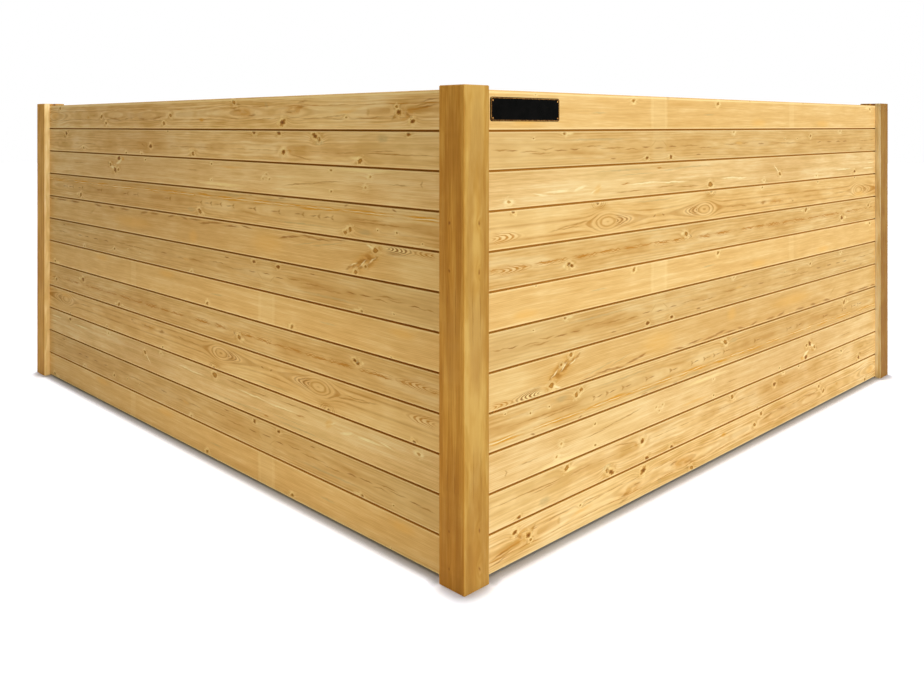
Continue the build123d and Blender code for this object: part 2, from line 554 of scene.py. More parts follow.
def paint_knots(tree, colour, spot, seeded, knots):
    """Knots with uneven rims, each over its halo and wings."""
    wobble = stretched(tree, seeded, WOBBLE_STRETCH, 2.0)[0]
    uneven = tree.between(wobble, *KNOT_UNEVEN)
    for kind, (along, up, size, *turn) in each(knots):
        half_sizes = (size * KNOT_LENGTH, size * KNOT_HEIGHT)

        def rim(shift, *turn):
            """Distance from an uneven oval of the knot's size, shifted by so many sizes."""
            centre = (along + size * shift[0], up + size * shift[1])
            return tree.math("MULTIPLY", oval(tree, spot, centre, half_sizes, *turn), uneven)

        if kind in WINGED_KNOTS:
            for way in (-1.0, 1.0):
                wing = rim([way * shift for shift in WING_SHIFT], WING_TURN)
                colour = tree.blend(tree.ease(wing, *WING_FADE), colour, screen(WING_BROWN))
        if kind != "post pin":
            colour = tree.blend(tree.ease(rim(HALO_SHIFT, *turn), *HALO_FADE), colour, screen(KNOT_CREAM))
        distance = tree.math("DIVIDE", rim((0.0, 0.0), *turn), KNOT_REACH)
        stops = [(out, (*screen(shown)[:3], cover)) for out, shown, cover in KNOT_KINDS[kind]]
        knot_colour, cover = tree.ramp(distance, stops)
        colour = tree.blend(cover, colour, knot_colour)
    return colour


def pine(name, place, spots, look):
    """Planed pine. place(tree) gives (along, height, depth) in metres, spots(tree, place) where marks lie."""
    material, tree, shader = new_material(name)
    raw = place(tree)
    seeded = tree.vector("ADD", raw, [look["seed"] * step for step in SEED_STEPS])
    drift = sway(tree, seeded, DRIFT_STRETCH, 2.0)
    wander = tree.vector("MULTIPLY", drift, (WANDER_ALONG, look["wander"], look["wander"]))
    along, height, depth = tree.split(tree.vector("ADD", raw, wander))
    ripple = sway(tree, seeded, RIPPLE_STRETCH, 1.0)
    slow, fine = tree.vector("MULTIPLY", drift, SPOT_DRIFT), tree.vector("MULTIPLY", ripple, SPOT_RIPPLE)
    shift = tree.vector("ADD", slow, fine)
    spot = tree.split(tree.vector("ADD", spots(tree, raw), shift))[:2]
    radius, over_pith, line = rings(tree, look, spot, height, depth)
    colour, tone, fibre = grain(tree, look, seeded, along, radius, over_pith, line)

    # The marks' place waits for the tone: Cycles then works them out one after another, where all at once
    # they would not fit its stack
    spot = (tree.math("MULTIPLY_ADD", tone, WAIT, spot[0]), spot[1])
    noises = {breaker: stretched(tree, seeded, stretch, 2.0)[0] for breaker, (stretch, _) in BREAKERS.items()}
    gaps = {breaker: tree.ease(noises[breaker], *span) for breaker, (_, span) in BREAKERS.items()}
    colour = paint_marks(tree, colour, spot, gaps, look["marks"])
    colour = paint_ripples(tree, colour, spot, gaps, look["ripples"])
    colour = paint_waves(tree, colour, along, height, gaps, look)
    colour = paint_knots(tree, colour, spot, seeded, look["knots"])
    finish_pine(tree, shader, colour, look, raw, line, fibre)
    return material


def finish_pine(tree, shader, colour, look, raw, line, fibre):
    """Painted highlights on eased edges, painted shade in joints and on tops, timber tone, painted light on
    post faces, surface relief and sheen.
    """
    coordinates = tree.node("ShaderNodeTexCoord").outputs
    facing = tree.split(coordinates["Normal"])
    upward = tree.ease(facing[2], *UPWARD)
    in_shaded_joint = 0.0
    if look["edge_height"]:
        # Painted highlight in a band along both edges of the face
        middle = look["edge_height"] / 2
        from_middle = tree.math("ABSOLUTE", tree.math("SUBTRACT", tree.split(raw)[1], middle))
        edge = tree.ease(from_middle, *(middle - inset for inset in HIGHLIGHT_INSETS), 0.0, HIGHLIGHT_COVER)
        edge = tree.math("MULTIPLY", edge, tree.ease(from_middle, middle, middle + HIGHLIGHT_STOP, 1.0, 0.0))
        colour = tree.blend(edge, colour, screen(EDGE_HIGHLIGHT))
        # Painted shade in the joints, lighter on the faces there that look up
        shade = tree.node("ShaderNodeAttribute", attribute_name="joint_shade").outputs["Fac"]
        in_shaded_joint = tree.ease(shade, 0.0, JOINT_SHADE_FADE)
        joint_shade_colour = tree.blend(upward, screen(CHANNEL_SHADE_BROWN), screen(SHOULDER_LIT_BROWN))
        colour = tree.blend(in_shaded_joint, colour, joint_shade_colour)
    cast = tree.node("ShaderNodeHueSaturation")
    cast.inputs["Value"].default_value = look["tone"]
    tree.feed(cast.inputs["Color"], colour)
    colour = cast.outputs[0]
    # Painted light and shade: faces towards -X and -Y are tinted paler or darker, on the end posts only in
    # front of the boards' face
    if look["face_tints"]:
        in_front = 1.0
        if look["tint_axis"] is not None:
            place = tree.split(coordinates["Object"])[look["tint_axis"]]
            in_front = tree.math("LESS_THAN", place, BOARD_FACE)
        for side, tint in zip(facing, look["face_tints"]):
            cover = tree.math("MULTIPLY", tree.ease(side, *FACING), in_front)
            colour = tree.blend(cover, colour, tree.blend(1.0, colour, tint, "MULTIPLY"))
    # Painted shade: faces that look up, outside the joints, are tinted darker
    shaded_top = tree.math("MULTIPLY", upward, tree.math("SUBTRACT", 1.0, in_shaded_joint))
    colour = tree.blend(shaded_top, colour, tree.blend(1.0, colour, TOP_SHADE_TINT, "MULTIPLY"))
    tree.feed(shader.inputs["Base Color"], colour)
    relief = tree.math("ADD", tree.math("MULTIPLY", line, LINE_RELIEF), fibre)
    bump = tree.node("ShaderNodeBump")
    bump.inputs["Strength"].default_value = BUMP_STRENGTH
    bump.inputs["Distance"].default_value = BUMP_DEPTH
    tree.feed(bump.inputs["Height"], relief)
    tree.feed(shader.inputs["Normal"], bump.outputs[0])
    tree.feed(shader.inputs["Roughness"], tree.between(fibre, *PINE_ROUGHNESS))
    shader.inputs["Specular IOR Level"].default_value = PINE_SPECULAR


def look(seed, **changes):
    """A pine look with its usual values, apart from the changes."""
    usual = dict(
        seed=float(seed), tone=1.0, pale=PALE_STRAW, middle=STRAW, deep=TAN, contrast=1.0, wander=0.02,
        pith_height=0.07, pith_depth=0.09, ring=0.0060, figure=0.30, reach=0.0, edge_height=FACE_HEIGHT,
        eyes=(), waves=(), ripples=(), knots=(), marks=(), face_tints=(), tint_axis=None,
    )
    return {**usual, **changes}


# The boards, each along from the corner post and up from its lower edge. Eyes are (along, half length, rise),
# waves are (kind, height, half height, sweep, bends a metre) and ripples are (kind, along, height,
# half length, half height, count, side). Knots and marks are a kind and its places, in the order in which
# they are painted: a knot's place is (along, height, size, turn), and a mark's is (along, height,
# half length, half height, turn, bend).
def smooth_board(seed):
    """Plain board with two pin knots by its top edge and pale bands across it."""
    return look(
        seed, tone=1.035, contrast=0.65, pith_height=0.3, pith_depth=0.1, figure=0.14, wander=0.03,
        knots=(
            (
                "pin", (0.968, 0.13, 0.013, 20.0), (1.732, 0.128, 0.013, 20.0), (0.271, 0.141, 0.006),
                (3.77, 0.126, 0.012, -20.0),
            ),
        ),
        marks=(
            (
                "band", (1.18, 0.075, 0.074, 0.4), (1.12, 0.075, 0.014, 0.4), (1.24, 0.075, 0.014, 0.4),
                (2.586, 0.075, 0.04, 0.4),
            ),
            ("orange", (0.21, 0.036, 0.11, 0.03), (2.18, 0.03, 0.13, 0.028), (3.02, 0.028, 0.13, 0.028)),
            ("shade", (0.99, 0.126, 0.022, 0.01, 30.0), (1.754, 0.124, 0.022, 0.01, 30.0)),
            ("grey", (0.7, 0.072, 0.08, 0.005), (1.64, 0.072, 0.08, 0.005)),
            (
                "dash", (1.258, 0.146, 0.022, 0.004), (2.075, 0.146, 0.018, 0.004),
                (2.735, 0.146, 0.018, 0.004),
            ),
            ("pale", (3.72, 0.132, 0.05, 0.01)),
        ),
    )


def dashed_board(seed):
    """Slightly darker board with a chain of thin bent dashes along its middle."""
    dashes = [
        (along, 0.07, half, 0.003, 0.0, bend)
        for along, half, bend in (
            (0.13, 0.045, 0.08), (0.435, 0.06, -0.05), (0.53, 0.045, 0.06), (1.07, 0.045, 0.07),
            (1.3, 0.045, -0.07), (2.21, 0.045, 0.0), (2.96, 0.045, 0.06), (3.11, 0.045, 0.06),
            (3.25, 0.05, 0.0), (3.35, 0.05, 0.0),
        )
    ]
    lines = [
        (along, 0.07 + rise, half, 0.0036, 0.0, bend)
        for along, rise, half, bend in (
            (0.06, 0.002, 0.07, 0.1), (0.24, -0.002, 0.08, -0.06), (0.34, 0.003, 0.07, 0.1),
            (0.8, 0.0, 0.14, 0.03), (0.95, -0.004, 0.08, -0.08), (1.46, 0.003, 0.12, -0.04),
            (1.87, 0.0, 0.11, 0.05), (2.02, 0.004, 0.06, 0.1), (2.55, 0.0, 0.28, 0.02),
            (2.74, -0.004, 0.12, 0.0), (3.66, 0.0, 0.12, 0.04), (3.8, 0.004, 0.06, 0.1),
            (0.3, -0.014, 0.1, 0.05), (0.66, 0.012, 0.1, 0.0), (1.62, -0.012, 0.12, 0.04),
        )
    ]
    return look(
        seed, tone=0.9, contrast=0.9, pith_height=0.072, pith_depth=0.06, ring=0.0075, figure=0.34,
        knots=(
            ("pin", (0.462, 0.138, 0.01, -20.0), (0.259, 0.117, 0.005)),
            ("dark", (1.075, 0.02, 0.0105), (1.285, 0.02, 0.0105)), ("pale", (1.899, 0.136, 0.01, 20.0)),
            ("pin", (2.839, 0.108, 0.01, 15.0), (2.66, 0.095, 0.005), (2.5, 0.097, 0.005)),
            ("pale", (3.277, 0.134, 0.011)),
        ),
        marks=(
            ("painted light patch", (0.12, 0.075, 0.5, 0.25)), ("line", *lines),
            (
                "dash", *dashes, (0.808, 0.025, 0.03, 0.003), (1.535, 0.025, 0.032, 0.003),
                (3.616, 0.024, 0.03, 0.003),
            ),
            ("band", (1.18, 0.075, 0.074, 0.12)),
            ("shade", (1.13, 0.084, 0.04, 0.005, 35.0), (1.23, 0.084, 0.04, 0.005, -35.0)),
            ("dash", (1.18, 0.064, 0.05, 0.003, 0.0, 0.04)), ("pale", (0.5, 0.136, 0.034, 0.008)),
            ("orange", (1.96, 0.076, 0.06, 0.012)), ("grey", (0.7, 0.11, 0.3, 0.006)),
        ),
    )


def streaked_board(seed):
    """Light board with grey and cream streaks and a haloed knot."""
    return look(
        seed, tone=0.965, pale=(249, 220, 162), middle=(241, 203, 139), deep=(220, 180, 112),
        pith_height=0.26, pith_depth=0.03, figure=0.2, wander=0.028,
        knots=(
            ("pale", (0.111, 0.025, 0.011)), ("sound", (1.652, 0.025, 0.016)),
            ("pale", (2.241, 0.021, 0.01)), ("sound", (2.436, 0.05, 0.012, -20.0)),
            ("pale", (2.926, 0.02, 0.011)), ("dark", (3.511, 0.024, 0.013)),
        ),
        marks=(
            ("painted light patch", (0.78, 0.075, 0.42, 0.25)), ("painted shade patch", (2.45, 0.075, 0.6, 0.25)),
            (
                "grey", (0.9, 0.122, 0.3, 0.005), (1.48, 0.12, 0.28, 0.005), (1.0, 0.1, 0.22, 0.003),
                (1.3, 0.112, 0.16, 0.003, 1.0),
            ),
            (
                "line", (0.94, 0.026, 0.19, 0.0035, 1.0), (1.44, 0.026, 0.17, 0.0035, -1.0),
                (1.24, 0.034, 0.12, 0.0028, 2.0),
            ),
            (
                "cream", (0.42, 0.05, 0.12, 0.008), (0.56, 0.056, 0.06, 0.01, 12.0),
                (0.3, 0.044, 0.06, 0.006, -8.0), (0.68, 0.044, 0.06, 0.006, 20.0),
                (0.11, 0.026, 0.045, 0.01), (1.06, 0.058, 0.18, 0.005, 1.0),
                (1.3, 0.052, 0.18, 0.006, -1.0),
            ),
            ("thread", (1.184, 0.123, 0.03, 0.004), (0.9, 0.06, 0.05, 0.003, 4.0)),
            ("orange", (0.69, 0.045, 0.045, 0.022, 35.0)),
            (
                "cream", (1.86, 0.05, 0.13, 0.006), (2.395, 0.078, 0.05, 0.006, -40.0),
                (1.98, 0.045, 0.09, 0.005), (3.33, 0.045, 0.17, 0.007), (3.74, 0.04, 0.13, 0.006),
                (3.79, 0.075, 0.08, 0.005),
            ),
            ("line", (3.79, 0.095, 0.11, 0.003)),
        ),
    )


def eyed_board(seed):
    """Board with two oval grain eyes and chevrons beside them."""
    return look(
        seed, tone=1.0, contrast=0.9, pith_height=0.056, pith_depth=0.05, ring=0.01, figure=0.95,
        wander=0.006, reach=0.048,
        eyes=(
            (0.758, 0.08, 0.024), (0.85, 0.15, 0.01), (1.603, 0.08, 0.024), (1.51, 0.15, 0.01),
            (3.573, 0.08, 0.022), (3.66, 0.15, 0.01),
        ),
        ripples=(
            ("dash", 0.758, 0.056, 0.24, 0.038, 7.0, 1.0), ("dash", 1.603, 0.056, 0.24, 0.038, 7.0, -1.0),
            ("thread", -0.07, 0.044, 0.3, 0.034, 8.0, 1.0), ("line", 3.573, 0.056, 0.24, 0.036, 6.0, 1.0),
            ("line", 0.7, 0.14, 0.07, 0.036, 5.0, 0.0), ("line", 1.66, 0.14, 0.07, 0.036, 5.0, 0.0),
        ),
        knots=(
            ("dark", (0.136, 0.138, 0.008, -30.0), (0.69, 0.142, 0.009), (1.665, 0.142, 0.01)),
            ("pin", (2.222, 0.136, 0.008), (2.945, 0.134, 0.008)), ("dark", (3.51, 0.142, 0.008)),
        ),
        marks=(
            ("painted light patch", (0.15, 0.1, 0.52, 0.12), (1.35, 0.1, 0.3, 0.1)),
            ("shade", (0.72, 0.12, 0.08, 0.022), (1.64, 0.12, 0.08, 0.022)),
            (
                "line", (0.43, 0.052, 0.11, 0.004, 8.0), (0.56, 0.064, 0.11, 0.005, 5.0),
                (0.5, 0.05, 0.12, 0.003, 2.0),
            ),
            ("dash", (1.14, 0.056, 0.016, 0.004, 20.0), (1.215, 0.056, 0.016, 0.004, -20.0)),
            ("shade", (1.178, 0.056, 0.05, 0.012)),
            (
                "line", (1.87, 0.054, 0.11, 0.004, -3.0), (2.0, 0.05, 0.07, 0.004, -8.0),
                (3.27, 0.053, 0.11, 0.004),
            ),
            ("grey", (1.16, 0.126, 0.23, 0.005)), ("shade", (2.64, 0.096, 0.14, 0.02)),
            ("mottle", (2.236, 0.052, 0.045, 0.014, 8.0), (2.582, 0.046, 0.05, 0.015, -6.0)),
            ("gold", (2.42, 0.05, 0.2, 0.022)), ("line", (2.4, 0.05, 0.11, 0.005, -2.0)),
            ("orange", (3.6, 0.03, 0.16, 0.024)),
        ),
    )


def waved_board(seed):
    """Board with a thin wavy line along its middle and winged knots."""
    waves = [
        (along, 0.076 + rise, half, 0.0035, turn)
        for along, rise, half, turn in (
            (0.33, 0.0, 0.07, 0.0), (0.58, -0.002, 0.06, 4.0), (0.74, 0.003, 0.09, 0.0),
            (0.94, -0.002, 0.08, -3.0), (1.08, 0.002, 0.07, 5.0), (1.22, -0.003, 0.06, -6.0),
            (1.34, 0.004, 0.06, 6.0), (1.6, -0.004, 0.08, -6.0), (1.75, 0.002, 0.08, 0.0),
            (2.08, 0.004, 0.08, 0.0), (2.2, 0.002, 0.09, 0.0), (2.33, -0.002, 0.05, 10.0),
            (2.55, 0.004, 0.09, 0.0), (2.72, -0.002, 0.1, -3.0), (2.92, 0.002, 0.1, 2.0),
            (3.12, 0.0, 0.08, -2.0), (3.42, 0.0, 0.07, 0.0), (3.78, 0.006, 0.07, 5.0),
        )
    ]
    return look(
        seed, tone=0.94, pith_height=0.076, pith_depth=0.066, ring=0.0075, figure=0.36,
        waves=(
            ("thread", 0.078, 0.0042, 0.006, 26.0), ("thread", 0.071, 0.0022, 0.006, 34.0),
            ("line", 0.062, 0.0018, 0.004, 14.0),
        ),
        ripples=(("thread", -0.06, 0.07, 0.36, 0.032, 9.0, 1.0),),
        knots=(
            ("dark", (0.488, 0.049, 0.011, -20.0), (0.508, 0.042, 0.009, -20.0)),
            ("sound", (1.424, 0.098, 0.014, -20.0), (2.778, 0.13, 0.014, 25.0)),
            ("dark", (3.302, 0.044, 0.014, -15.0)), ("sound", (3.746, 0.095, 0.012, 25.0)),
        ),
        marks=(
            ("thread", *waves), ("pale", (0.462, 0.04, 0.03, 0.012, -30.0)),
            ("dash", (1.46, 0.088, 0.026, 0.004, -35.0)),
            (
                "pale", (1.39, 0.104, 0.024, 0.01), (2.735, 0.128, 0.03, 0.01), (2.82, 0.13, 0.02, 0.01),
                (3.355, 0.044, 0.024, 0.016),
            ),
            ("grey", (1.2, 0.138, 0.33, 0.003)), ("shade", (3.3, 0.106, 0.03, 0.01)),
        ),
    )


def smudged_board(seed):
    """Smooth board with a mottled smudge, rippled grain beside it and dark streaks along its lower edge."""
    streaks = [
        (along, 0.012 + rise, half, 0.0034 + 0.0012 * along, turn)
        for along, rise, half, turn in (
            (0.62, -0.003, 0.1, 3.0), (0.74, 0.006, 0.09, 0.0), (0.84, 0.0, 0.09, -3.0),
            (0.96, 0.012, 0.1, 6.0), (1.03, 0.02, 0.05, 12.0), (1.36, -0.002, 0.08, -6.0),
            (1.5, 0.006, 0.1, 2.0), (1.66, 0.002, 0.11, 3.0), (1.76, 0.01, 0.09, 4.0),
            (1.86, 0.0, 0.09, 0.0), (1.98, 0.0, 0.06, -8.0), (2.12, 0.0, 0.06, 8.0), (2.32, 0.0, 0.07, 0.0),
            (2.45, 0.004, 0.07, 8.0), (2.7, 0.0, 0.08, 0.0), (2.88, 0.0, 0.06, -6.0),
            (3.08, 0.0, 0.09, -6.0), (3.44, 0.0, 0.11, 0.0), (3.66, 0.0, 0.13, 1.0),
            (3.82, 0.0, 0.06, -2.0),
        )
    ]
    return look(
        seed, tone=0.97, contrast=0.85, pith_height=-0.04, pith_depth=0.06, figure=0.22, wander=0.03,
        ripples=(
            ("arc", 0.38, 0.014, 0.29, 0.036, 11.0, -1.0), ("thread", -0.04, 0.014, 0.22, 0.026, 7.0, 1.0),
        ),
        knots=(
            ("sound", (0.374, 0.03, 0.014, 0.0)), ("pin", (0.44, 0.1, 0.009, 20.0)),
            ("sound", (0.505, 0.13, 0.011, 20.0)),
        ),
        marks=(
            ("dash", *streaks), ("painted light patch", (0.06, 0.075, 0.3, 0.25)), ("painted shade patch", (2.2, 0.075, 1.5, 0.25)),
            ("pale", (0.25, 0.014, 0.12, 0.02)), ("orange", (0.445, 0.088, 0.15, 0.052, 24.0)),
            ("gold", (0.445, 0.086, 0.145, 0.048, 24.0)), ("mottle", (0.44, 0.084, 0.12, 0.036, 26.0)),
            ("brown", (0.372, 0.062, 0.034, 0.008, 35.0)), ("cream", (0.395, 0.072, 0.036, 0.005, 30.0)),
            ("brown", (0.425, 0.074, 0.04, 0.009, 10.0)), ("cream", (0.455, 0.09, 0.036, 0.005, 35.0)),
            ("brown", (0.48, 0.088, 0.045, 0.009, 20.0), (0.505, 0.108, 0.045, 0.009, 5.0)),
            ("cream", (0.52, 0.1, 0.034, 0.005, 20.0)), ("brown", (0.55, 0.116, 0.034, 0.008, 30.0)),
            ("cream", (0.4, 0.02, 0.05, 0.008, -20.0)),
            ("grey", (0.7, 0.036, 0.16, 0.004, 8.0), (0.86, 0.046, 0.12, 0.003, 10.0)),
            ("orange", (1.17, 0.072, 0.2, 0.07), (1.88, 0.1, 0.07, 0.05)),
            ("shade", (3.17, 0.06, 0.06, 0.01, 25.0)), ("orange", (2.6, 0.08, 0.35, 0.05)),
        ),
    )


def resin_board(seed):
    """Board with golden resin lines low down and arrowheads along its middle."""
    arrow_places = (
        0.67, 0.765, 0.885, 1.075, 1.285, 1.48, 1.6, 1.7, 1.8, 2.14, 2.53, 2.66, 3.03, 3.32, 3.47, 3.57,
    )
    arrows = [(along, 0.07, 0.016, 0.012, 90.0, 1.0) for along in arrow_places]
    tails = [(along + 0.034, 0.071, 0.036, 0.0026, 3.0) for along in arrow_places]
    resin = [
        (along, height, half, thick, turn)
        for along, height, half, thick, turn in (
            (0.475, 0.028, 0.12, 0.0034, 0.0), (0.64, 0.034, 0.09, 0.004, 3.0),
            (0.82, 0.04, 0.12, 0.005, 1.0), (0.9, 0.032, 0.12, 0.0036, -1.0),
            (1.48, 0.04, 0.12, 0.005, 0.0), (1.56, 0.032, 0.12, 0.0036, 1.0),
            (1.76, 0.027, 0.13, 0.0045, -3.0), (0.1, 0.027, 0.12, 0.003, 0.0),
            (2.15, 0.028, 0.14, 0.0032, 2.0), (3.01, 0.027, 0.11, 0.0036, 2.0),
            (3.32, 0.028, 0.16, 0.0045, 1.0), (3.68, 0.036, 0.13, 0.0065, 0.0),
            (1.99, 0.028, 0.05, 0.0036, 0.0),
        )
    ]
    return look(
        seed, tone=0.94, contrast=1.1, pith_height=0.07, pith_depth=0.066, ring=0.0075, figure=0.38,
        waves=(
            ("cream", 0.034, 0.0026, 0.004, 10.0), ("resin", 0.029, 0.004, 0.004, 12.0),
            ("resin", 0.04, 0.003, 0.004, 9.0),
        ),
        knots=(
            (
                "sound", (0.543, 0.11, 0.012, 20.0), (0.575, 0.124, 0.01, 20.0),
                (1.812, 0.118, 0.015, -30.0), (3.339, 0.115, 0.015, 30.0),
            ),
            ("pin", (0.086, 0.128, 0.005), (0.24, 0.098, 0.006), (0.358, 0.098, 0.006)),
        ),
        marks=(
            ("painted light patch", (0.8, 0.075, 0.42, 0.25)), ("painted shade patch", (2.5, 0.075, 0.9, 0.25)), ("resin", *resin),
            ("dash", *tails), ("brown", *arrows),
            (
                "line", (0.33, 0.073, 0.28, 0.0036), (0.42, 0.062, 0.18, 0.0028, 1.0),
                (3.06, 0.07, 0.06, 0.004),
            ),
            (
                "grey", (0.44, 0.114, 0.06, 0.014), (1.1, 0.018, 0.14, 0.008), (1.48, 0.016, 0.12, 0.008),
                (1.9, 0.112, 0.06, 0.012),
            ),
            ("pale", (1.775, 0.124, 0.03, 0.01, -30.0), (3.39, 0.112, 0.03, 0.01, 20.0)),
            (
                "dash", (0.255, 0.01, 0.02, 0.004, -20.0), (0.56, 0.01, 0.02, 0.004, 20.0),
                (1.05, 0.006, 0.04, 0.004), (1.32, 0.006, 0.03, 0.004),
            ),
            ("grey", (0.9, 0.112, 0.3, 0.005)),
        ),
    )


def light_board(seed):
    """Light board with scattered tiny knots and one large cluster."""
    return look(
        seed, tone=0.98, contrast=0.9, pale=(249, 220, 162), middle=(241, 204, 141), deep=(220, 176, 106),
        pith_height=0.22, pith_depth=0.05, figure=0.22, wander=0.03,
        knots=(
            ("pale", (0.438, 0.08, 0.009), (0.407, 0.036, 0.009)),
            ("pin", (0.672, 0.108, 0.007), (0.672, 0.017, 0.008)),
            (
                "pale", (1.153, 0.075, 0.007), (1.208, 0.075, 0.007), (1.18, 0.053, 0.007),
                (1.689, 0.102, 0.007),
            ),
            ("pin", (1.689, 0.018, 0.008)),
            ("dark", (2.827, 0.09, 0.016, -15.0), (2.778, 0.018, 0.016, 10.0)),
            ("sound", (2.895, 0.06, 0.012, -20.0), (2.785, 0.086, 0.011)), ("pin", (2.43, 0.02, 0.008)),
        ),
        marks=(
            ("painted light patch", (0.8, 0.075, 0.42, 0.25)), ("painted shade patch", (2.6, 0.075, 1.1, 0.25)),
            (
                "line", (0.1, 0.052, 0.018, 0.006, 90.0, 0.5), (0.68, 0.066, 0.12, 0.0032, 2.0),
                (0.78, 0.078, 0.16, 0.003, 5.0), (0.94, 0.09, 0.14, 0.003, 6.0), (0.23, 0.06, 0.1, 0.003),
            ),
            (
                "thread", (1.153, 0.075, 0.018, 0.008), (1.208, 0.075, 0.018, 0.008),
                (1.18, 0.053, 0.018, 0.008),
            ),
            ("resin", (2.73, 0.022, 0.03, 0.008)), ("gold", (2.84, 0.07, 0.12, 0.04, -10.0)),
            ("brown", (2.905, 0.056, 0.04, 0.01, -15.0)),
            ("cream", (2.85, 0.076, 0.06, 0.012, -10.0), (2.78, 0.04, 0.06, 0.012, 20.0)),
            ("pale", (0.45, 0.01, 0.3, 0.012), (1.6, 0.12, 0.3, 0.012)),
            ("orange", (1.5, 0.03, 0.16, 0.01)),
            ("line", (1.88, 0.058, 0.07, 0.004), (3.36, 0.062, 0.12, 0.0034)),
        ),
    )


def knotty_board(seed):
    """Board with dark knots and marks by its lower edge."""
    wedges = [(along, 0.008, 0.036, 0.014) for along in (0.172, 1.073, 1.288)]
    return look(
        seed, tone=0.99, contrast=1.1, pale=(248, 218, 160), middle=(239, 201, 136), deep=(216, 172, 100),
        pith_height=0.09, pith_depth=0.07, ring=0.0075, figure=0.36,
        waves=(("line", 0.092, 0.0026, 0.003, 7.0),),
        knots=(
            ("sound", (0.475, 0.125, 0.013, 20.0)), ("dark", (1.036, 0.097, 0.013, 20.0)),
            ("sound", (0.764, 0.034, 0.014, -20.0)), ("dark", (0.79, 0.022, 0.014, -20.0)),
            ("sound", (1.88, 0.125, 0.013, -25.0)),
            (
                "dark", (0.172, 0.01, 0.009), (1.073, 0.009, 0.012), (1.288, 0.009, 0.012),
                (2.365, 0.092, 0.013),
            ),
            ("pale", (2.476, 0.137, 0.01)), ("pin", (2.679, 0.138, 0.01), (3.295, 0.118, 0.012, -20.0)),
            ("dark", (3.579, 0.028, 0.014, -35.0)), ("pin", (2.16, 0.008, 0.009)),
        ),
        marks=(
            ("painted light patch", (0.18, 0.075, 0.48, 0.3)), ("painted shade patch", (2.7, 0.075, 1.2, 0.25), (2.45, 0.075, 0.5, 0.25)),
            ("mottle", *wedges),
            (
                "line", (0.27, 0.092, 0.2, 0.0036, -1.0), (0.33, 0.082, 0.12, 0.0028, 2.0),
                (0.56, 0.092, 0.1, 0.0036, 4.0), (1.95, 0.09, 0.1, 0.0036), (3.17, 0.092, 0.09, 0.0036),
            ),
            ("gold", (0.99, 0.094, 0.03, 0.012)),
            ("shade", (1.18, 0.128, 0.18, 0.014), (1.18, 0.05, 0.16, 0.012)),
            ("pale", (0.5, 0.112, 0.06, 0.01)), ("line", (0.9, 0.12, 0.1, 0.004, -8.0)),
            ("grey", (0.33, 0.03, 0.05, 0.02), (0.76, 0.05, 0.05, 0.016)),
            ("brown", (2.46, 0.086, 0.03, 0.006, -20.0), (3.6, 0.05, 0.03, 0.01)),
        ),
    )


def looped_board(seed):
    """Board with long flat loops of grain and dark knots."""
    return look(
        seed, tone=1.01, contrast=1.15, pale=(249, 220, 162), middle=(240, 202, 137), deep=(216, 172, 98),
        pith_height=0.068, pith_depth=0.055, ring=0.008, figure=0.5, reach=0.075,
        eyes=(
            (0.96, 0.12, 0.006), (1.42, 0.11, 0.006), (2.4, 0.12, 0.004), (2.82, 0.12, 0.004),
            (3.72, 0.12, 0.012),
        ),
        waves=(("line", 0.096, 0.0028, 0.006, 6.0), ("thread", 0.04, 0.0026, 0.004, 5.0)),
        knots=(
            ("dark", (0.145, 0.112, 0.012, 20.0), (0.226, 0.076, 0.012, -20.0)),
            ("sound", (0.24, 0.054, 0.008)), ("dark", (1.046, 0.114, 0.017, 20.0)),
            (
                "sound", (1.467, 0.014, 0.013, -30.0), (2.207, 0.114, 0.013), (2.13, 0.074, 0.012, -20.0),
                (2.959, 0.114, 0.012, -20.0), (3.03, 0.074, 0.012, 20.0), (3.684, 0.014, 0.012),
            ),
            ("pin", (0.565, 0.094, 0.007)),
        ),
        marks=(
            ("painted light patch", (0.78, 0.075, 0.42, 0.25)), ("painted shade patch", (2.7, 0.075, 1.1, 0.25)),
            ("gold", (0.94, 0.056, 0.12, 0.03, 4.0)),
            ("brown", (0.9, 0.046, 0.06, 0.01, 8.0), (0.98, 0.066, 0.06, 0.007, 4.0)),
            ("gold", (1.37, 0.066, 0.15, 0.03, -3.0)),
            ("brown", (1.3, 0.08, 0.05, 0.009, 4.0), (1.45, 0.052, 0.055, 0.01, -8.0)),
            ("gold", (0.19, 0.088, 0.08, 0.034, 10.0)),
            ("brown", (0.165, 0.09, 0.04, 0.009, -30.0), (0.25, 0.094, 0.034, 0.009, 30.0)),
            ("orange", (0.56, 0.07, 0.09, 0.01, 4.0)), ("thread", (0.11, 0.062, 0.13, 0.004, 5.0)),
            ("line", (0.08, 0.046, 0.1, 0.0036, 7.0)),
            ("dash", (0.06, 0.054, 0.08, 0.003, 6.0), (0.05, 0.03, 0.07, 0.003, 8.0)),
            ("grey", (1.178, 0.033, 0.026, 0.012, -30.0)),
            ("line", (0.42, 0.098, 0.15, 0.0034, 3.0), (0.64, 0.088, 0.12, 0.0034, 4.0)),
            (
                "brown", (0.88, 0.022, 0.05, 0.007, 6.0), (1.44, 0.024, 0.05, 0.007, -6.0),
                (2.29, 0.086, 0.1, 0.007, 6.0), (2.46, 0.092, 0.1, 0.007, -5.0),
                (2.64, 0.086, 0.1, 0.007, 5.0), (2.83, 0.09, 0.11, 0.007, -6.0),
            ),
            ("gold", (3.23, 0.078, 0.03, 0.014)), ("orange", (3.77, 0.06, 0.09, 0.04)),
            ("resin", (1.79, 0.1, 0.04, 0.008)), ("shade", (0.42, 0.074, 0.014, 0.02)),
        ),
    )


BOARD_LOOKS = (
    smooth_board(1), dashed_board(2), streaked_board(3), eyed_board(4), waved_board(5), smooth_board(6),
    dashed_board(7), smudged_board(8), resin_board(9), light_board(10), knotty_board(11), looped_board(12),
)


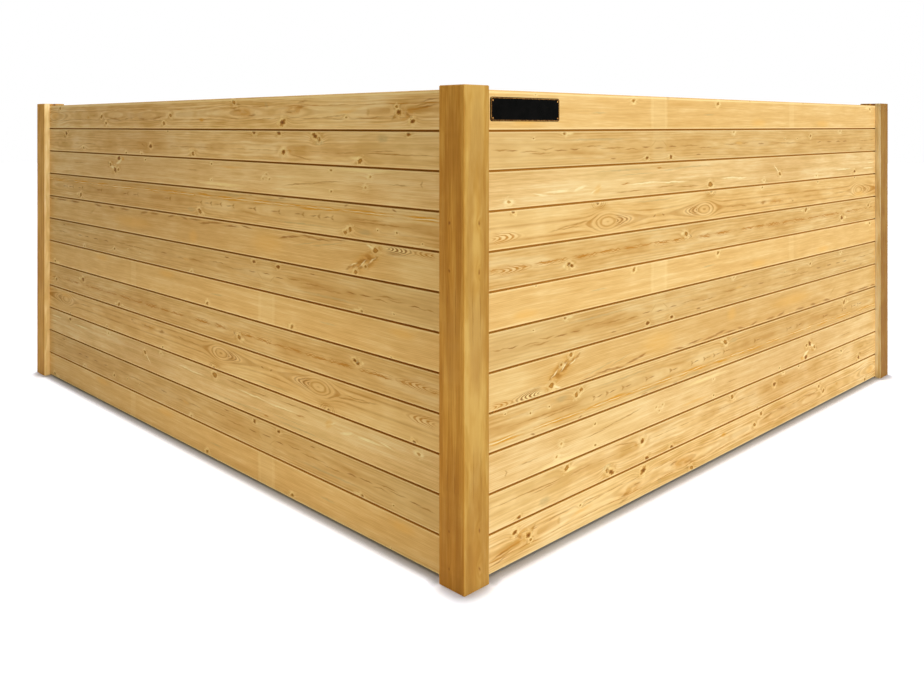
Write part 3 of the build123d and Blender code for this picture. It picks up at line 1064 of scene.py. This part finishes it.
# Shapes that are made of rings of points
def bridge(made, first, second):
    """Faces all round between two rings of points."""
    count = len(first)
    for i in range(count):
        j = (i + 1) % count
        made.faces.new((first[i], first[j], second[j], second[i]))


def mesh_from(name, made):
    """The finished mesh of a shape."""
    mesh = bpy.data.meshes.new(name)
    made.to_mesh(mesh)
    made.free()
    return mesh


def add_piece(name, mesh, material):
    """A piece in the fence's own frame that goes with its one body."""
    piece = bpy.data.objects.new(name, mesh)
    bpy.context.scene.collection.objects.link(piece)
    piece.data.materials.clear()
    piece.data.materials.append(material)
    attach(piece, "root")
    return piece


# Board shapes
def arris(centre_depth, centre_height, start):
    """A rounded edge of a board's section, a quarter turn on from the starting angle, as (depth, height)."""
    for step in range(ARC_STEPS + 1):
        angle = math.radians(start - 90.0 * step / ARC_STEPS)
        yield centre_depth + BOARD_ARRIS * math.cos(angle), centre_height + BOARD_ARRIS * math.sin(angle)


def board_section(has_groove, has_tongue):
    """A board's outline as (depth, height, joint shade), up the street face and down the back."""
    front_top = BOARD_PITCH - (REVEAL if has_tongue else 0.0)
    back_top = BOARD_PITCH - (SHOULDER_GAP if has_tongue else 0.0)
    inset = (BOARD_THICKNESS - TONGUE_THICKNESS) / 2
    back_inset = BOARD_THICKNESS - BOARD_ARRIS
    lower = arris(BOARD_ARRIS, BOARD_ARRIS, 270.0)
    upper = arris(BOARD_ARRIS, front_top - BOARD_ARRIS, 180.0)
    points = [(*p, (1.0 - step / ARC_STEPS) * has_groove) for step, p in enumerate(lower)]
    points += [(*p, step / ARC_STEPS * has_tongue) for step, p in enumerate(upper)]
    if has_tongue:
        tip = BOARD_PITCH + TONGUE_LENGTH
        tongue = (
            (inset, front_top),
            (inset, tip - TONGUE_BEVEL),
            (inset + TONGUE_BEVEL, tip),
            (inset + TONGUE_THICKNESS - TONGUE_BEVEL, tip),
            (inset + TONGUE_THICKNESS, tip - TONGUE_BEVEL),
            (inset + TONGUE_THICKNESS, back_top),
        )
        points += [(*p, 1.0) for p in tongue]
    points += [(*p, 0.0) for p in arris(back_inset, back_top - BOARD_ARRIS, 90.0)]
    points += [(*p, 0.0) for p in arris(back_inset, BOARD_ARRIS, 0.0)]
    if has_groove:
        wall = inset - TONGUE_CLEARANCE
        deep = TONGUE_LENGTH + TONGUE_TIP_ROOM
        groove = ((BOARD_THICKNESS - wall, 0.0), (BOARD_THICKNESS - wall, deep), (wall, deep), (wall, 0.0))
        points += [(*p, 1.0) for p in groove]
    return points


def board_mesh(name, row, left):
    """One board in its place, with where each point lies in the timber kept as attributes."""
    section = board_section(has_groove=row > 0, has_tongue=row < BOARD_COUNT - 1)
    made = bmesh.new()
    places, shades, ends = [], [], []
    lower_edge = GROUND_GAP + row * BOARD_PITCH
    for along in (BOARD_START, BOARD_START + BOARD_LENGTH):
        ring = []
        timber_along = (along - POST_HALF - FIRST_SEEN) / ALONG_SCALE
        for depth, height, shade in section:
            point = (along, BOARD_FACE + depth, lower_edge + height)
            ring.append(made.verts.new((point[1], point[0], point[2]) if left else point))
            places += (timber_along, FACE_HEIGHT - height if left else height, depth)
            shades.append(shade)
        ends.append(ring)
    bridge(made, *ends)
    for ring in ends:
        made.faces.new(ring)
    bmesh.ops.recalc_face_normals(made, faces=made.faces)
    mesh = mesh_from(name, made)
    mesh.attributes.new("timber_place", "FLOAT_VECTOR", "POINT").data.foreach_set("vector", places)
    # joint_shade marks where finish_pine paints shade in the joints
    mesh.attributes.new("joint_shade", "FLOAT", "POINT").data.foreach_set("value", shades)
    mesh.shade_smooth()
    mesh.set_sharp_from_angle(angle=SMOOTH_ANGLE)
    return mesh


def timber_place(tree):
    """Where a point lies in its board: along it, up its face and into it."""
    return tree.node("ShaderNodeAttribute", attribute_name="timber_place").outputs["Vector"]


def on_face(tree, place):
    """Marks on a board lie by length and height, and go right through it."""
    return tree.vector("MULTIPLY", place, (1.0, 1.0, 0.0))


def add_boards():
    """Twelve boards a bay. The left bay has the right bay's boards upside down."""
    materials = [
        pine(f"pine_board_{number:02d}", timber_place, on_face, board_look)
        for number, board_look in enumerate(BOARD_LOOKS, start=1)
    ]
    for bay in ("right", "left"):
        left = bay == "left"
        for row in range(BOARD_COUNT):
            name = f"{bay}_board_{row + 1:02d}"
            from_top = row if left else BOARD_COUNT - 1 - row
            piece = add_piece(name, board_mesh(name, row, left), materials[from_top])
            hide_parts(f"{bay}_boards")


# Posts and battens
def object_place(tree):
    """Where a point lies in the fence's own frame."""
    return tree.node("ShaderNodeTexCoord").outputs["Object"]


def post_place(centre):
    """Where a point lies in a post: up it, and across it both ways from its near corner."""
    def place(tree):
        corner = (centre[0] - POST_HALF, centre[1] - POST_HALF, 0.0)
        x, y, z = tree.split(tree.vector("SUBTRACT", object_place(tree), corner))
        return tree.join(z, x, y)
    return place


def on_post(tree, place):
    """Marks on a post lie by height and by how far across whichever face they are on."""
    up, x, y = tree.split(place)
    around = tree.math("ADD", x, y)
    across = tree.math("MULTIPLY", tree.math("FRACT", tree.math("DIVIDE", around, POST_SIDE)), POST_SIDE)
    return tree.join(up, across, 0.0)


def post_look(seed, **changes):
    """A darker, browner, clearer timber than the boards. Its face light is painted light and shade for the
    faces towards -X and -Y.
    """
    usual = dict(
        pale=(206, 163, 84), middle=(194, 147, 66), deep=(176, 126, 48), edge_height=0.0,
        pith_height=0.050, pith_depth=0.150, ring=0.0085, figure=0.34, wander=0.016, contrast=1.5,
    )
    return look(seed, **{**usual, **changes})


def corner_post_look(seed):
    """The corner post's timber, with four small knots, long loops of grain and a deep edge."""
    return post_look(
        # Painted light and shade on the corner post's faces towards -X and -Y
        seed, face_tints=((1.17, 1.06, 0.86, 1.0), (1.03, 1.07, 1.14, 1.0)),
        knots=(("post pin", *[(up, 0.078, 0.008) for up in (1.345, 1.165, 0.215, 0.072)]),),
        marks=(
            ("post pale", (0.86, 0.060, 0.300, 0.070)),
            ("post deep", (0.10, 0.066, 0.340, 0.120), (0.95, 0.125, 1.400, 0.022)),
            ("post line", (1.02, 0.045, 0.160, 0.004), (1.02, 0.085, 0.160, 0.004)),
            ("post line", (0.42, 0.048, 0.140, 0.004), (0.42, 0.088, 0.140, 0.004)),
        ),
        ripples=(
            ("post loop", 1.270, 0.066, 0.760, 0.076, 1.0, 0.0),
            ("post loop", 0.060, 0.066, 0.640, 0.080, 1.0, 0.0),
        ),
    )


def dress(node, material):
    """Gives a CAD node its material."""
    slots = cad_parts[node].data.materials
    slots.clear()
    slots.append(material)


def dress_posts():
    """Vertical-grained timber on the three posts, with painted light and shade on their faces. The end posts'
    painted light stops at the boards' face.
    """
    # Painted light and shade for the end posts' faces towards -X and -Y
    right_painted_light = ((1.80, 2.85, 9.0, 1.0), (0.61, 0.55, 0.43, 1.0))
    left_painted_light = ((1.30, 1.25, 1.18, 1.0), (1.60, 2.22, 5.5, 1.0))
    looks = {
        "corner_post": ((0.0, 0.0), corner_post_look(21)),
        "right_end_post": ((BAY_CENTRES, 0.0), post_look(22, face_tints=right_painted_light, tint_axis=1)),
        "left_end_post": ((0.0, BAY_CENTRES), post_look(23, face_tints=left_painted_light, tint_axis=0)),
    }
    for node, (centre, timber) in looks.items():
        dress(node, pine(f"{node}_pine", post_place(centre), on_post, timber))


def batten_place(left):
    """Where a point lies in a batten: up it, across its width and through it."""
    def place(tree):
        x, y, z = tree.split(object_place(tree))
        return tree.join(z, y, x) if left else tree.join(z, x, y)
    return place


def batten_look(seed, across):
    """Rough pine for a batten whose middle lies that far along its bay."""
    return look(
        seed, pith_height=across + 0.02, pith_depth=0.10, tone=0.93, edge_height=0.0,
        knots=(
            ("sound", (0.42, across - 0.02, 0.011)), ("dark", (1.13, across + 0.015, 0.012)),
            ("pin", (1.58, across - 0.01, 0.008)),
        ),
    )


def dress_battens():
    """Pine on the battens behind the boards."""
    for bay in ("right", "left"):
        left = bay == "left"
        for number in (1, 2):
            node = f"{bay}_batten_{number}"
            low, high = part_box(node)
            middle = (low + high) / 2
            timber = batten_look(30 + number, middle.y if left else middle.x)
            dress(node, pine(f"{node}_pine", batten_place(left), on_face, timber))


# Sign plate and screws
def dress_plate():
    """Black gloss enamel on the bare sign plate."""
    material, tree, shader = new_material("plate_enamel")
    smudge = tree.noise(object_place(tree), scale=22.0, detail=3.0).outputs[0]
    colour = tree.blend(tree.ease(smudge, 0.4, 0.7), screen((3, 3, 2)), screen((7, 6, 5)))
    tree.feed(shader.inputs["Base Color"], colour)
    tree.feed(shader.inputs["Roughness"], tree.between(smudge, 0.22, 0.36))
    shader.inputs["Specular IOR Level"].default_value = 0.02
    dress("sign_plate", material)


def metal(name, scale, detail, bright, dull, roughness, worn=()):
    """Metal that is dull in fine patches, with hard rims where a span of the noise is given as worn."""
    material, tree, shader = new_material(name)
    age = tree.noise(object_place(tree), scale=scale, detail=detail).outputs[0]
    dullness = tree.ease(age, *worn) if worn else age
    tree.feed(shader.inputs["Base Color"], tree.blend(dullness, screen(bright), screen(dull)))
    tree.feed(shader.inputs["Roughness"], tree.between(age, *roughness))
    shader.inputs["Metallic"].default_value = 1.0
    return material


def rounded_outline(half_long, half_high, corner):
    """Points round a rounded rectangle about its middle."""
    points = []
    for turn in range(4):
        centre_x = (half_long - corner) * (1 if turn in (0, 3) else -1)
        centre_z = (half_high - corner) * (1 if turn in (0, 1) else -1)
        for step in range(PLATE_ARC_STEPS + 1):
            angle = math.radians(90.0 * (turn + step / PLATE_ARC_STEPS))
            points.append((centre_x + corner * math.cos(angle), centre_z + corner * math.sin(angle)))
    return points


def add_dome(made, spot, radius, rise, way):
    """A low dome that stands on a surface and faces that way."""
    turn = Vector(way).to_track_quat("Z", "Y").to_matrix().to_4x4()
    place = Matrix.Translation(spot) @ turn
    rings = []
    for level in range(DOME_LEVELS):
        angle = math.radians(90.0 * level / DOME_LEVELS)
        ring = []
        for step in range(DOME_SIDES):
            round_angle = 2 * math.pi * step / DOME_SIDES
            x = radius * math.cos(angle) * math.cos(round_angle)
            y = radius * math.cos(angle) * math.sin(round_angle)
            ring.append(made.verts.new(place @ Vector((x, y, rise * math.sin(angle)))))
        rings.append(ring)
    top = made.verts.new(place @ Vector((0.0, 0.0, rise)))
    for lower, upper in zip(rings, rings[1:]):
        bridge(made, lower, upper)
    for i in range(DOME_SIDES):
        made.faces.new((rings[-1][i], rings[-1][(i + 1) % DOME_SIDES], top))
    made.faces.new(rings[0][::-1])


def add_plate_trim():
    """A thin raised brass line round the plate, just inside its edge, and a domed pin in each corner."""
    low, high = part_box("sign_plate")
    middle, half = (low + high) / 2, (high - low) / 2
    finish = metal("plate_brass", 160.0, 3.0, (214, 160, 84), (140, 86, 34), (0.30, 0.50), worn=(0.35, 0.65))
    border = bmesh.new()
    rings = []
    for inset, rise in BORDER_SECTION:
        outline = rounded_outline(half.x - inset, half.z - inset, PLATE_CORNER - inset)
        rings.append([border.verts.new((middle.x + x, low.y - rise, middle.z + z)) for x, z in outline])
    for outer, inner in zip(rings, rings[1:]):
        bridge(border, outer, inner)
    bmesh.ops.recalc_face_normals(border, faces=border.faces)
    add_piece("plate_border", mesh_from("plate_border", border), finish)

    pins = bmesh.new()
    for side_x in (-1, 1):
        for side_z in (-1, 1):
            x, z = middle.x + side_x * (half.x - PIN_INSET), middle.z + side_z * (half.z - PIN_INSET)
            add_dome(pins, (x, low.y, z), PIN_RADIUS, PIN_DOME, (0.0, -1.0, 0.0))
    mesh = mesh_from("plate_pins", pins)
    mesh.shade_smooth()
    add_piece("plate_pins", mesh, finish)


def add_screws():
    """Two pan-head screws through each batten into each board."""
    finish = metal("screw_zinc", 240.0, 2.0, (196, 186, 160), (150, 138, 112), (0.35, 0.55))
    for bay in ("right", "left"):
        for number in (1, 2):
            low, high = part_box(f"{bay}_batten_{number}")
            middle = (low + high) / 2
            made = bmesh.new()
            for row in range(BOARD_COUNT):
                height = GROUND_GAP + (row + 0.5) * BOARD_PITCH
                for side in (-1, 1):
                    if bay == "right":
                        place, way = (middle.x + side * SCREW_SPREAD, high.y, height), (0.0, 1.0, 0.0)
                    else:
                        place, way = (high.x, middle.y + side * SCREW_SPREAD, height), (1.0, 0.0, 0.0)
                    add_dome(made, place, SCREW_RADIUS, SCREW_DOME, way)
            name = f"{bay}_batten_{number}_screws"
            mesh = mesh_from(name, made)
            mesh.shade_smooth()
            add_piece(name, mesh, finish)


# Stage, light and camera
def stage_floor():
    """White floor to the camera, with a painted shadow where the fence comes near it, and a middling pale grey
    one to the light.
    """
    half = FLOOR_SIZE / 2
    corners = [(-half, -half, 0), (half, -half, 0), (half, half, 0), (-half, half, 0)]
    mesh = bpy.data.meshes.new("floor")
    mesh.from_pydata(corners, [], [(0, 1, 2, 3)])
    floor = bpy.data.objects.new("floor", mesh)
    bpy.context.scene.collection.objects.link(floor)
    material = bpy.data.materials.new("floor_white")
    material.use_nodes = True
    tree = Tree(material.node_tree)
    material.node_tree.nodes.clear()
    occlusion = tree.node("ShaderNodeAmbientOcclusion", samples=PAINTED_SHADOW_SAMPLES)
    occlusion.inputs["Distance"].default_value = PAINTED_SHADOW_REACH
    stops = [(place, (shade, shade, shade, 1.0)) for place, shade in PAINTED_SHADOW_LEVELS]
    # Painted shadow: the floor's colour darkens with occlusion near the fence
    level, _ = tree.ramp(occlusion.outputs["AO"], stops)
    level = tree.blend(shadow_beside_boards(tree), WHITE, level)
    shown = tree.node("ShaderNodeBsdfDiffuse")
    tree.feed(shown.inputs["Color"], tree.vector("MULTIPLY", level, FLOOR_SHOWN[:3]))
    lit = tree.node("ShaderNodeBsdfDiffuse")
    lit.inputs["Color"].default_value = FLOOR_BOUNCE
    mixed = tree.node("ShaderNodeMixShader")
    tree.feed(mixed.inputs[0], seen_directly(tree))
    tree.feed(mixed.inputs[1], lit.outputs[0])
    tree.feed(mixed.inputs[2], shown.outputs[0])
    tree.feed(tree.node("ShaderNodeOutputMaterial").inputs[0], mixed.outputs[0])
    mesh.materials.append(material)


def shadow_beside_boards(tree):
    """How much of the floor's painted shadow shows: 1 along either bay's boards, and less at the posts' feet.
    """
    bay_end = BAY_CENTRES - POST_HALF
    along_bays = []
    for along in tree.split(object_place(tree))[:2]:
        past_corner = tree.ease(along, POST_HALF - CORNER_FADE, POST_HALF + CORNER_FADE)
        before_end = tree.ease(along, bay_end - END_FADE, bay_end + END_FADE, 1.0, 0.0)
        along_bays.append(tree.math("MULTIPLY", past_corner, before_end))
    return tree.spread(tree.math("MAXIMUM", *along_bays), 0.0, 1.0, PAINTED_SHADOW_AT_POSTS, 1.0)


def seen_directly(tree):
    """1 for what the camera sees, also by reflection or through glass."""
    path = tree.node("ShaderNodeLightPath").outputs
    mirrored = tree.math("MAXIMUM", path["Is Glossy Ray"], path["Is Transmission Ray"])
    return tree.math("MAXIMUM", path["Is Camera Ray"], mirrored)


def surround():
    """White to the camera, and a low even light on the fence."""
    world = bpy.data.worlds.new("white_surround")
    world.use_nodes = True
    bpy.context.scene.world = world
    tree = Tree(world.node_tree)
    background = world.node_tree.nodes["Background"]
    shown = seen_directly(tree)
    tree.feed(background.inputs["Color"], tree.blend(shown, SKY_COLOUR, WHITE))
    tree.feed(background.inputs["Strength"], tree.spread(shown, 0.0, 1.0, SKY_LEVEL, 1.0))


def add_sun(name, level, spread, turn, colour=WHITE[:3]):
    """Parallel light from straight above, then turned by the given angles in degrees."""
    sun = bpy.data.lights.new(name, "SUN")
    sun.color = colour
    sun.energy = level * math.pi
    sun.angle = math.radians(spread)
    lamp = bpy.data.objects.new(name, sun)
    lamp.rotation_euler = [math.radians(angle) for angle in turn]
    bpy.context.scene.collection.objects.link(lamp)


def add_lamps():
    """A front light square to the right bay, one from above, a weak one behind, and lamps by the left bay."""
    add_sun("front_light", FRONT_LEVEL, FRONT_SPREAD, (90.0 - FRONT_ELEVATION, 0.0, 0.0), FRONT_COLOUR)
    add_sun("top_light", TOP_LEVEL, TOP_SPREAD, (0.0, TOP_TILT, TOP_BEARING))
    add_sun("back_light", BACK_LEVEL, BACK_SPREAD, (90.0 - BACK_ELEVATION, 0.0, BACK_BEARING))
    for number, (place, size, watts) in enumerate(SIDE_LAMPS, start=1):
        data = bpy.data.lights.new(f"side_lamp_{number}", "AREA")
        data.shape = "RECTANGLE"
        data.size, data.size_y = size
        data.energy = watts
        data.color = SIDE_COLOUR
        lamp = bpy.data.objects.new(data.name, data)
        lamp.location = place
        lamp.rotation_euler = (math.radians(90.0), 0.0, math.radians(-90.0))
        lamp.visible_camera = False
        lamp.visible_glossy = False
        bpy.context.scene.collection.objects.link(lamp)


def add_camera():
    """Level camera at eye height, shifted down to the fence."""
    data = bpy.data.cameras.new("camera")
    data.sensor_width = SENSOR_WIDTH
    data.lens = FOCAL_PIXELS * SENSOR_WIDTH / IMAGE_WIDTH
    data.shift_x = (IMAGE_WIDTH / 2 - PRINCIPAL_COLUMN) / IMAGE_WIDTH
    data.shift_y = (HORIZON_ROW - IMAGE_HEIGHT / 2) / IMAGE_WIDTH
    camera = bpy.data.objects.new("camera", data)
    camera.location = CAMERA_PLACE
    camera.rotation_euler = (math.radians(90.0), 0.0, math.radians(CAMERA_BEARING - 90.0))
    bpy.context.scene.collection.objects.link(camera)
    bpy.context.scene.camera = camera


bpy.context.scene.view_settings.view_transform = "Standard"
add_camera()
add_boards()
dress_posts()
dress_battens()
dress_plate()
add_plate_trim()
add_screws()
stage_floor()
surround()
add_lamps()
